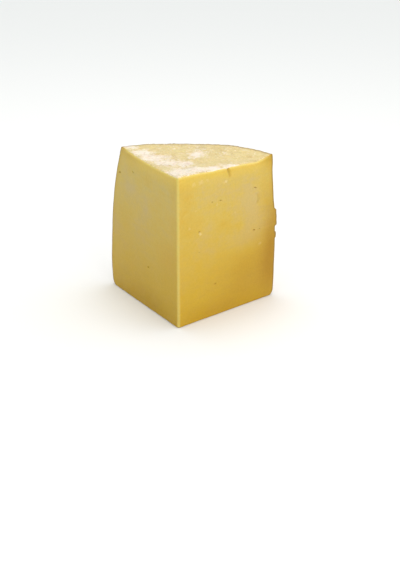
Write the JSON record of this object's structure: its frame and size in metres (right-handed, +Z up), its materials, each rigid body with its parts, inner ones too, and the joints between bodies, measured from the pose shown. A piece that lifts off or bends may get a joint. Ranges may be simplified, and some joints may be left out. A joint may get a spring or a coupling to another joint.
{
  "type": "cheese wedge",
  "caption": "Tall wedge of semi-hard yellow cheese, cut from a wheel, with flat cut faces, a bulging rind at the back and a flat base to stand on.",
  "frame": {"origin": "centre of the footprint's bounding box, on the flat base that the wedge stands on", "axes": "+Z up from the base to the wheel's top face, +Y from the front edge, which is the wheel's axis, towards the middle of the rind, +X across the wedge towards its right cut face"},
  "size_m": [0.1636, 0.1292, 0.144],
  "materials": {
    "cheese": "satin"
  },
  "bodies": {
    "root": {"cheese_wedge": "cheese"}
  },
  "joints": []
}
